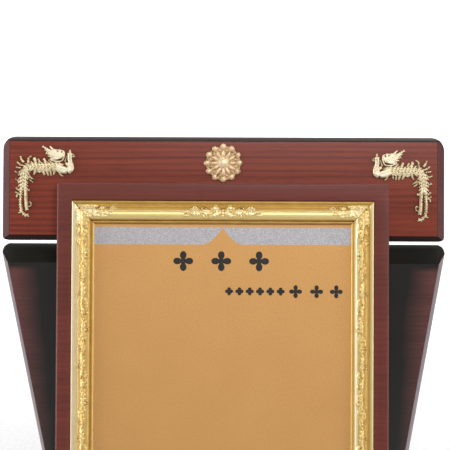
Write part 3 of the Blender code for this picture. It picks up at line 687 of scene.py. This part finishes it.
# Strokes from root to tip: (x, z, half thickness) in millimetres from the upper outer corner
STREAMERS = (
    ((36.5, -17.0, 3.4), (32.0, -16.0, 3.2), (26.0, -16.3, 3.0), (18.0, -16.4, 2.7), (12.5, -16.0, 2.5),
     (8.4, -18.2, 2.4), (7.2, -23.0, 2.2), (7.0, -28.0, 2.1), (7.2, -32.5, 1.9)),
    ((6.6, -30.0, 1.4), (5.6, -35.0, 1.15), (5.2, -41.0, 1.05), (5.4, -46.5, 1.0), (6.3, -50.0, 0.8),
     (8.0, -51.8, 0.65), (9.8, -53.0, 0.65), (11.2, -52.4, 0.6)),
    ((8.0, -30.0, 1.4), (9.0, -35.0, 1.25), (9.3, -41.0, 1.2), (9.6, -45.9, 0.95), (10.2, -48.6, 0.6)),
    ((6.0, -48.6, 0.7), (5.0, -50.4, 0.65), (3.7, -50.9, 0.7)),
)
CURLS = (
    ((7.4, -12.9, 0.8), (5.9, -10.9, 0.65), (4.9, -8.4, 0.55)),
    ((6.0, -15.2, 0.8), (4.0, -14.0, 0.6), (2.3, -12.5, 0.55)),
    ((5.6, -17.2, 0.7), (3.4, -16.9, 0.5), (1.6, -16.4, 0.5)),
    ((4.9, -20.6, 0.7), (2.4, -20.6, 0.5), (0.8, -19.5, 0.5)),
    ((4.6, -28.2, 0.6), (2.8, -26.2, 0.55), (1.2, -25.4, 0.85)),
    ((4.6, -34.2, 0.6), (2.9, -33.2, 0.5), (2.1, -31.8, 0.8)),
    ((4.6, -35.9, 0.5), (2.9, -35.9, 0.45), (1.3, -35.2, 0.55)),
    ((4.4, -36.3, 0.6), (2.6, -37.4, 0.5), (2.5, -39.2, 0.6)),
    ((10.4, -20.4, 0.8), (12.3, -24.0, 0.55), (15.8, -26.1, 0.5)),
    ((10.2, -22.6, 0.7), (12.0, -25.8, 0.5), (14.7, -27.9, 0.5)),
    ((10.2, -33.8, 0.6), (12.2, -33.6, 0.8)),
    ((10.6, -46.0, 0.4), (12.5, -45.7, 0.45), (13.3, -43.9, 0.5), (12.1, -42.6, 0.5), (11.2, -43.6, 0.4)),
    ((11.0, -13.4, 0.8), (11.0, -9.9, 0.6), (13.2, -8.2, 0.5)),
    ((17.2, -13.2, 0.8), (15.4, -10.4, 0.95), (16.6, -9.6, 0.5)),
    ((19.6, -13.0, 0.7), (18.0, -10.2, 0.6)),
    ((24.0, -13.0, 0.8), (22.3, -10.0, 0.8)),
    ((28.0, -13.0, 0.7), (26.0, -11.0, 0.6)),
    ((17.2, -19.0, 0.8), (15.6, -21.0, 0.6), (14.8, -22.7, 0.5)),
    ((18.6, -18.6, 1.1), (19.8, -20.6, 0.9)),
    ((21.6, -18.6, 1.0), (23.2, -22.6, 0.55)),
    ((24.4, -18.6, 1.0), (26.0, -22.8, 0.5)),
    ((27.4, -18.6, 0.8), (28.0, -22.9, 0.45)),
    ((30.8, -19.0, 0.8), (29.8, -22.3, 0.5)),
    ((34.0, -20.0, 0.7), (35.2, -22.3, 0.5), (37.0, -23.2, 0.45)),
)
BIRD = (
    ((42.0, -6.9, 1.15), (41.9, -10.4, 1.35), (42.6, -14.2, 2.1), (42.2, -17.6, 2.9), (40.0, -19.6, 2.9)),
    ((40.0, -19.2, 2.6), (36.5, -18.4, 3.0), (33.0, -17.0, 3.0)),
    ((38.4, -13.6, 1.2), (40.4, -14.6, 1.3), (42.4, -16.8, 1.4)),
    ((42.0, -7.0, 1.0), (42.0, -5.0, 0.8), (42.1, -3.4, 0.75)),
    ((42.4, -6.6, 0.7), (44.2, -7.0, 0.6), (45.4, -8.9, 0.55)),
    ((43.2, -8.4, 0.5), (44.6, -9.0, 0.5)),
    ((41.6, -6.6, 0.5), (40.6, -6.4, 0.4), (39.8, -6.2, 0.5)),
    ((38.0, -12.6, 0.7), (38.8, -10.4, 0.5), (39.4, -8.2, 0.45)),
)
SHOULDER = (36.2, -8.6)
WING_TIPS = ((21.5, -1.0), (23.1, -3.6), (24.2, -5.9), (25.4, -8.2), (27.4, -10.4), (26.9, -0.9), (28.4, -2.8),
             (31.0, -3.5), (34.0, -3.9), (36.8, -4.5))
WING_RIM = ((27.9, -11.2), (31.0, -12.0), (35.2, -12.0), (37.0, -10.4), (37.9, -7.0), (36.9, -4.5), (31.0, -3.5),
            (28.4, -2.6), (26.9, -0.9))
PHOENIX_INSET = 8.5 * MM
PHOENIX_DROP = 6.8 * MM
PHOENIX_RIGHT_LOWER = 2.2 * MM
CAST_GRAIN = 0.18 * MM


def strokes(name, lines, flatten, out):
    """Tapered rods with round ends that follow smooth lines, flattened towards the board by a share."""
    curve = bpy.data.curves.new(name, "CURVE")
    curve.dimensions = "3D"
    curve.bevel_depth = MM
    curve.bevel_resolution = 3
    curve.use_fill_caps = True
    for line in lines:
        line = np.array(line)
        fine = np.linspace(0, len(line) - 1, 8 * (len(line) - 1) + 1)
        smooth = np.stack([smooth_through(line[:, k], fine) for k in range(3)], axis=1)
        spline = curve.splines.new("POLY")
        spline.points.add(len(smooth) - 1)
        for point, (x, z, thick) in zip(spline.points, smooth):
            point.co = (x * MM, 0, z * MM, 1)
            point.radius = max(thick, 0.2)
    piece = bpy.data.objects.new(name, curve)
    bpy.context.scene.collection.objects.link(piece)
    only(piece)
    bpy.ops.object.convert(target="MESH")
    piece = bpy.context.object
    piece.data.transform(Matrix.Translation((0, -out, 0)) @ Matrix.Diagonal((1, flatten, 1, 1)))
    return piece


def smooth_through(values, fine):
    """A smooth curve through evenly spaced values, read at the places in fine."""
    slope = np.gradient(values)
    low = np.clip(np.floor(fine).astype(int), 0, len(values) - 2)
    f = fine - low
    a, b, da, db = values[low], values[low + 1], slope[low], slope[low + 1]
    return a * (1 + 2 * f) * (1 - f) ** 2 + da * f * (1 - f) ** 2 + b * f**2 * (3 - 2 * f) + db * f**2 * (f - 1)


def along_line(line, share):
    """The place and direction on a line of points, at a share of its length."""
    points = np.array([p[:2] for p in line])
    reach = np.concatenate(([0], np.cumsum(np.linalg.norm(np.diff(points, axis=0), axis=1))))
    here, ahead = (np.array([np.interp(s * reach[-1], reach, points[:, k]) for k in range(2)])
                   for s in (share, share + 0.02))
    heading = ahead - here
    return here, heading / np.linalg.norm(heading)


def barbs(line, count, spread, length, thick):
    """Short barbs in pairs down both sides of a feather, leaning towards its tip."""
    made = []
    for i in range(count):
        here, heading = along_line(line, (i + 0.5) / count)
        for side in (-1, 1):
            aside = np.array((-heading[1], heading[0])) * side
            start = here + aside * 0.15
            middle = here + aside * spread * 0.6 + heading * length * 0.35
            tip = here + aside * spread + heading * length
            made.append(((*start, thick * 0.9), (*middle, thick), (*tip, thick * 0.6)))
    return made


def fused(name, parts, grain):
    """Joins overlapping parts into one skin."""
    bpy.ops.object.select_all(action="DESELECT")
    for part in parts:
        part.select_set(True)
    bpy.context.view_layer.objects.active = parts[0]
    bpy.ops.object.join()
    piece = named(name)
    modifier = piece.modifiers.new("skin", "REMESH")
    modifier.mode = "VOXEL"
    modifier.voxel_size = grain
    bpy.ops.object.modifier_apply(modifier=modifier.name)
    return piece


def phoenix(name):
    """The left bird in relief, its back on the plane Y = 0, from its upper outer corner."""
    curls = [[(x, z, 1.25 * thick) for x, z, thick in line] for line in CURLS]
    quills = [[(x, z, 0.42) for x, z, _ in line] for line in STREAMERS]
    wing = [((*SHOULDER, 1.3), ((SHOULDER[0] + x) / 2, (SHOULDER[1] + z) / 2 - 0.5, 0.95), (x, z, 0.4))
            for x, z in WING_TIPS]
    layers = (
        ("base", STREAMERS, 0.22, 0.30),
        ("curls", curls, 0.80, 0.35),
        ("bird", BIRD, 0.55, 0.55),
        ("quills", quills, 0.90, 1.0),
        ("tail_barbs", barbs(STREAMERS[0], 17, 3.7, 2.6, 0.66), 1.0, 0.70),
        ("inner_barbs", barbs(STREAMERS[0], 17, 2.1, 2.6, 0.50), 1.0, 1.15),
        ("fringe", [barb for line in STREAMERS[1:3] for barb in barbs(line, 14, 1.25, 1.3, 0.42)], 1.0, 0.70),
        ("neck_scales", barbs(BIRD[0], 11, 1.5, -1.6, 0.42), 1.0, 1.80),
        ("flank_scales", barbs(BIRD[1], 7, 2.1, 2.0, 0.50), 1.0, 1.95),
        ("wing", wing, 0.75, 1.05),
        ("wing_rim", [[(x, z, 0.48) for x, z in WING_RIM]], 1.0, 1.2),
        ("vanes", [barb for line in wing[::2] for barb in barbs(line, 9, 0.8, 1.0, 0.24)], 1.0, 1.75),
    )
    parts = [strokes(label, lines, flatten, out * MM) for label, lines, flatten, out in layers]
    piece = fused(name, parts, CAST_GRAIN)
    for vertex in piece.data.vertices:
        vertex.co.y = min(vertex.co.y, 0)
    return piece


def brass_casting(name, low, middle, high, back, depth):
    """Plated casting: dark in the recesses near its back, pale where it stands highest."""
    shader = Shader(name, 0.44, 0.4)
    rise = shader.add("SeparateXYZ", 1, Vector=shader.place(FRONT_TURN))
    rise = shader.math("MULTIPLY_ADD", rise, -1 / depth, back / depth)
    cloud = shader.noise(500, 3.0)
    tone = shader.math("MULTIPLY_ADD", cloud, 0.24, shader.math("SUBTRACT", rise, 0.12))
    pits = shader.noise(560, 2.0, 0.6)
    pits = shader.math("MULTIPLY", shader.math("SUBTRACT", pits, 0.55, clamp=True), 10.0, clamp=True)
    tone = shader.math("MULTIPLY_ADD", pits, -0.36, tone)
    shader.look(Base_Color=shader.ramp(tone, ((0.12, low), (0.45, middle), (0.85, high))))
    shader.bump(shader.noise(1600, 2.0), 0.08 * MM, 0.4)
    return shader.material


ORNAMENT_BACK = header_low.y - 0.3 * MM
PALE_GOLD = brass_casting("pale_gold_casting", (0.10, 0.085, 0.035), (0.78, 0.61, 0.34), (1.0, 0.90, 0.66),
                          ORNAMENT_BACK, 2.1 * MM)
for label, side, drop in (("left", -1, 0), ("right", 1, PHOENIX_RIGHT_LOWER)):
    bird = phoenix(f"phoenix_casting_{label}")
    if side > 0:
        bird.data.transform(Matrix.Diagonal((-1, 1, 1, 1)))
        bird.data.flip_normals()
    outer = side * (header_high.x - PHOENIX_INSET)
    bird.data.transform(Matrix.Translation((outer, ORNAMENT_BACK, header_high.z - PHOENIX_DROP - drop)))
    bird.data.materials.append(PALE_GOLD)
    only(bird)
    bpy.ops.object.shade_smooth()
    turn_into_place(bird, FRONT_TURN)
    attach(bird, "front")
    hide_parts(f"phoenix_{label}")

# ----------------------------------------------------------------------------------------------- Emblem
# A small cast rosette at the header's middle: a scalloped rim, a ring of petals round a domed boss, and
# beads between them. It is pinned like the phoenixes.

emblem_low, emblem_high = square_box("emblem", FRONT_TURN)
emblem_middle = (emblem_low + emblem_high) / 2
EMBLEM_RADIUS = (emblem_high.x - emblem_low.x) / 2
EMBLEM_LOBES = 12
ROSETTE_GRAIN = 0.2 * MM


def disc(name, radius, thick):
    bpy.ops.object.select_all(action="DESELECT")
    place = (emblem_middle.x, ORNAMENT_BACK - thick / 2, emblem_middle.z)
    bpy.ops.mesh.primitive_cylinder_add(vertices=96, radius=radius, depth=thick, location=place,
                                        rotation=(math.radians(90), 0, 0))
    piece = named(name)
    apply_place(piece)
    return piece


def ball(name, radius, high, reach, angle, rise):
    """A flattened ball, so far from the rosette's middle and above its back."""
    bpy.ops.object.select_all(action="DESELECT")
    place = (emblem_middle.x + reach * math.sin(angle), ORNAMENT_BACK - rise,
             emblem_middle.z + reach * math.cos(angle))
    bpy.ops.mesh.primitive_uv_sphere_add(segments=24, ring_count=12, radius=1, location=place,
                                         scale=(radius, high, radius))
    piece = named(name)
    apply_place(piece)
    return piece


def petal(angle, start, end, width, high, rise):
    """An oval petal whose long axis points away from the rosette's middle."""
    bpy.ops.object.select_all(action="DESELECT")
    bpy.ops.mesh.primitive_uv_sphere_add(segments=24, ring_count=12, radius=1)
    piece = named("petal")
    piece.scale = (width / 2, high, (end - start) / 2)
    piece.location = (0, 0, (start + end) / 2)
    apply_place(piece)
    for vertex in piece.data.vertices:
        vertex.co.x *= 1 - 0.35 * (vertex.co.z - start) / (end - start)
    turned = Matrix.Rotation(angle, 4, "Y")
    place = (emblem_middle.x, ORNAMENT_BACK - rise, emblem_middle.z)
    piece.data.transform(Matrix.Translation(place) @ turned)
    return piece


def emblem():
    parts = [disc("field", EMBLEM_RADIUS * 0.88, 0.7 * MM)]
    for i in range(EMBLEM_LOBES):
        angle = 2 * math.pi * i / EMBLEM_LOBES
        between = angle + math.pi / EMBLEM_LOBES
        parts.append(ball("lobe", 2.4 * MM, 1.1 * MM, EMBLEM_RADIUS * 0.84, angle, 0.3 * MM))
        parts.append(petal(angle, 3.6 * MM, 10.0 * MM, 3.2 * MM, 1.0 * MM, 0.6 * MM))
        parts.append(ball("bead", 0.62 * MM, 0.7 * MM, EMBLEM_RADIUS * 0.66, between, 0.8 * MM))
    parts.append(ball("boss", 3.9 * MM, 1.9 * MM, 0, 0, 0.4 * MM))
    parts.append(disc("collar", 4.4 * MM, 1.3 * MM))
    piece = fused("rosette", parts, ROSETTE_GRAIN)
    for vertex in piece.data.vertices:
        vertex.co.y = min(vertex.co.y, ORNAMENT_BACK)
    return piece


rosette = emblem()
rosette.data.materials.append(brass_casting("rosy_gold_casting", (0.13, 0.070, 0.026), (0.74, 0.48, 0.25),
                                            (0.98, 0.76, 0.48), ORNAMENT_BACK, 2.0 * MM))
only(rosette)
bpy.ops.object.shade_smooth()
turn_into_place(rosette, FRONT_TURN)
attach(rosette, "front")
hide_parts("emblem")

# ------------------------------------------------------------------------------------------------- Leg
# The wide rear board that hangs from the header's hinges and swings back to hold the plaque up. It tapers
# towards its foot, and is chamfered along the front of its sides and rounded along their back. Painted shade
# blackens its square-cut top and the middle of its face, where the header and the panel shade it, and a painted
# highlight makes its side chamfers pale.

LEG_TURN = math.radians(42) + FRONT_TURN
LEG_TAPER = math.radians(4.2)
LEG_THICK = 22 * MM
LEG_CHAMFER_DEPTH, LEG_CHAMFER_REACH = 11.5 * MM, 5 * MM  # along the front of its sides
LEG_ROUND_DEPTH, LEG_ROUND_REACH = 9 * MM, 5.5 * MM  # along their back
LEG_ROUND_STEPS = 12
# Painted shade on the leg's face: black over the middle, where the panel shades it, and along the top, under the
# header
PAINTED_SHADE_HALF = 143 * MM  # how far from the middle the black starts to thin out
PAINTED_SHADE_FADE = 17 * MM
PAINTED_SHADE_DRIFT = 8 * MM  # how far its border wanders
PAINTED_SHADE_TOP = 3 * MM  # black along the top edge
PAINTED_SHADE_TOP_FADE = 5 * MM

leg_low, leg_high = square_box("leg_board", LEG_TURN)
leg_side = [(0.0, LEG_CHAMFER_REACH), (LEG_CHAMFER_DEPTH, 0.0)]  # depth, and how far it is set in
for step in range(LEG_ROUND_STEPS + 1):
    angle = math.radians(90) * step / LEG_ROUND_STEPS
    depth = LEG_THICK - LEG_ROUND_DEPTH * (1 - math.sin(angle))
    leg_side.append((depth, LEG_ROUND_REACH * (1 - math.cos(angle))))


def leg_shape(point):
    """Gives a point of an evenly cut block its place in the tapered leg with its level foot."""
    depth, inset = leg_side[round((point.y - leg_low.y) / LEG_THICK * (len(leg_side) - 1))]
    half, z = leg_high.x - inset, point.z
    if z < leg_low.z + HAIR:
        z = leg_low.z + (LEG_THICK - depth) * math.tan(LEG_TURN)
        half -= (leg_high.z - z) * math.tan(LEG_TAPER)
    return Vector((math.copysign(half, point.x), leg_low.y + depth, z))


def leg_block():
    """A block cut across its thickness once for each line of the sides' section."""
    piece = block("leg", leg_low, leg_high)
    pick_edges(piece, lambda a, b: abs(a.y - b.y) > HAIR)
    bpy.ops.mesh.subdivide(number_cuts=len(leg_side) - 2)
    bpy.ops.object.mode_set(mode="OBJECT")
    for vertex in piece.data.vertices:
        vertex.co = leg_shape(vertex.co)
    soften(piece)
    return piece


def painted_shade_on_leg():
    """Leg veneer with painted shade: black over its middle and along its top, so that only its sides show brown.
    """
    shader = wood("leg_veneer_painted_shade", LEG_TURN, (0.085, 0.030, 0.028), (0.140, 0.046, 0.041), (0.185, 0.060, 0.050),
                  roughness=0.36, coat=0.25, coat_roughness=0.2, line=0.08)
    brown = shader.surface.inputs["Base Color"].links[0].from_socket
    side = shader.math("ABSOLUTE", shader.add("SeparateXYZ", 0, Vector=shader.place()))
    side = shader.math("MULTIPLY_ADD", shader.noise(30, 2.0), PAINTED_SHADE_DRIFT, side)
    share = shader.math("MULTIPLY", shader.math("SUBTRACT", side, PAINTED_SHADE_HALF), 1 / PAINTED_SHADE_FADE, clamp=True)
    z = shader.add("SeparateXYZ", 2, Vector=shader.place(LEG_TURN))
    below = shader.math("SUBTRACT", leg_high.z - PAINTED_SHADE_TOP, z)
    share = shader.math("MULTIPLY", share, shader.math("MULTIPLY", below, 1 / PAINTED_SHADE_TOP_FADE, clamp=True))
    # Near-black painted shade over the veneer's brown
    shader.look(Base_Color=shader.mix(share, (0.012, 0.010, 0.008), brown))
    return shader.material


# Near-black stain on the leg's top, back and foot; on the top it is painted shade, standing in for the header's
# shadow
LEG_EDGE_STAIN_AND_SHADE = stain("leg_edge_stain_and_shade", LEG_TURN, (0.013, 0.013, 0.010), (0.019, 0.018, 0.014),
                 roughness=0.7, coat=0.0, specular=0.03)
# Painted highlight: the side chamfers are painted pale lilac, standing in for the side lamps' light on them
LEG_SIDE_PAINTED_HIGHLIGHT = stain("leg_side_painted_highlight", LEG_TURN, (0.170, 0.120, 0.132), (0.250, 0.180, 0.195),
                 roughness=0.5, coat=0.1, specular=0.3)
leg = leg_block()
face_and_edges(leg, painted_shade_on_leg(), LEG_EDGE_STAIN_AND_SHADE, LEG_SIDE_PAINTED_HIGHLIGHT)
turn_into_place(leg, LEG_TURN)
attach(leg, "leg")
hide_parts("leg_board")

# -------------------------------------------------------------------------------- Hinges, screws and pads
# Two pressed butt hinges with stop ears, yellow plated, their countersunk screws and those that hold the
# panel and the frame, and four discs of black felt under the level-cut feet.


def brushed(name, dark, light, roughness):
    """Plated steel, brushed along X and dulled in patches."""
    shader = Shader(name, roughness, 1.0)
    brush = shader.noise((60, 2500, 2500), 3.0, 0.6)
    dull = shader.noise(90, 4.0)
    tone = shader.math("MULTIPLY_ADD", brush, 0.5, shader.math("MULTIPLY", dull, 0.5))
    shader.look(Base_Color=shader.ramp(tone, ((0.35, dark), (0.62, light))))
    shader.look(Roughness=shader.math("MULTIPLY_ADD", dull, 0.30, roughness - 0.12))
    shader.bump(brush, 0.04 * MM, 0.5)
    return shader.material


def felt_finish():
    shader = Shader("black_felt", 0.95)
    fuzz = shader.noise(1400, 4.0, 0.75)
    colour = shader.ramp(fuzz, ((0.3, (0.010, 0.010, 0.010)), (0.75, (0.055, 0.052, 0.050))))
    shader.look(Base_Color=colour, Sheen_Weight=0.5)
    shader.bump(fuzz, 0.4 * MM, 0.9)
    return shader.material


HINGE = brushed("hinge_plating", (0.40, 0.28, 0.10), (0.74, 0.58, 0.28), 0.34)
SCREW = brushed("screw_plating", (0.38, 0.31, 0.17), (0.70, 0.62, 0.40), 0.30)
FELT = felt_finish()
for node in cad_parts:
    if "screw" in node:
        dress(node, SCREW)
    elif node.startswith("hinge"):
        dress(node, HINGE)
    elif "pad" in node:
        dress(node, FELT)

# ------------------------------------------------------------------------------- Floor, light and camera
# A pale floor that runs far back, soft light from both sides, in front and behind, and a long lens nearly
# square to the header.

FLOOR_SIZE = 16
FLOOR_SHIFT = 4  # how far back its middle lies
FLOOR_WHITE_FROM = 0.02  # behind the part's middle
FLOOR_FADE = 0.2
DAYLIGHT = 0.12
LIGHT_AIM = (0, 0, 0.2)
SWEEP = (0, 2.3, 1.2)  # the lamp that whitens the floor behind, and points down at it
CAMERA_DISTANCE = 1.505
CAMERA_RISE = math.radians(16.4)
CAMERA_ASIDE = math.radians(0.9)
CAMERA_LENS = 161.5
AIM_RIGHT = 1.5 * MM
AIM_DOWN = 65.9 * MM  # from the header's top edge

bpy.context.scene.view_settings.view_transform = "Standard"
bpy.ops.object.select_all(action="DESELECT")
bpy.ops.mesh.primitive_plane_add(size=FLOOR_SIZE, location=(0, FLOOR_SHIFT, 0))
floor = named("floor")
pale = Shader("pale_floor", 0.7)
far = pale.add("SeparateXYZ", 1, Vector=pale.place())
far = pale.math("SUBTRACT", far, FLOOR_WHITE_FROM)
far = pale.math("MULTIPLY", far, 1 / FLOOR_FADE, clamp=True)
speck = pale.noise(300, 3.0)
grey = pale.ramp(speck, ((0.3, (0.34, 0.34, 0.34)), (0.7, (0.38, 0.38, 0.38))))
pale.look(Base_Color=pale.mix(far, grey, (0.88, 0.88, 0.88)), Specular_IOR_Level=0.2)
floor.data.materials.append(pale.material)

world = bpy.data.worlds.new("studio")
world.use_nodes = True
sky = world.node_tree.nodes["Background"].inputs
sky["Color"].default_value = (0.95, 0.97, 1.0, 1.0)
sky["Strength"].default_value = DAYLIGHT
bpy.context.scene.world = world


def softbox(name, place, aim, width, height, power):
    light = bpy.data.lights.new(name, "AREA")
    light.shape = "RECTANGLE"
    light.size, light.size_y = width, height
    light.energy = power
    lamp = bpy.data.objects.new(name, light)
    bpy.context.scene.collection.objects.link(lamp)
    lamp.location = place
    lamp.rotation_euler = (Vector(aim) - Vector(place)).to_track_quat("-Z", "Y").to_euler()


softbox("left", (-1.30, -0.30, 0.50), LIGHT_AIM, width=0.7, height=0.9, power=11)
softbox("right", (1.25, -0.45, 0.50), LIGHT_AIM, width=0.5, height=0.9, power=6)
softbox("front_top", (0.35, -1.40, 1.70), LIGHT_AIM, width=1.1, height=0.7, power=24)
softbox("back_sweep", SWEEP, (0, SWEEP[1] + 0.1 * MM, 0), width=3.4, height=3.6, power=260)

aim = Matrix.Rotation(FRONT_TURN, 3, "X") @ Vector((AIM_RIGHT, header_low.y, header_high.z - AIM_DOWN))
level = math.cos(CAMERA_RISE)
back = Vector((level * math.sin(CAMERA_ASIDE), -level * math.cos(CAMERA_ASIDE), math.sin(CAMERA_RISE)))
camera = bpy.data.objects.new("camera", bpy.data.cameras.new("camera"))
bpy.context.scene.collection.objects.link(camera)
camera.location = aim + back * CAMERA_DISTANCE
camera.rotation_euler = (-back).to_track_quat("-Z", "Y").to_euler()
camera.data.lens = CAMERA_LENS
bpy.context.scene.camera = camera
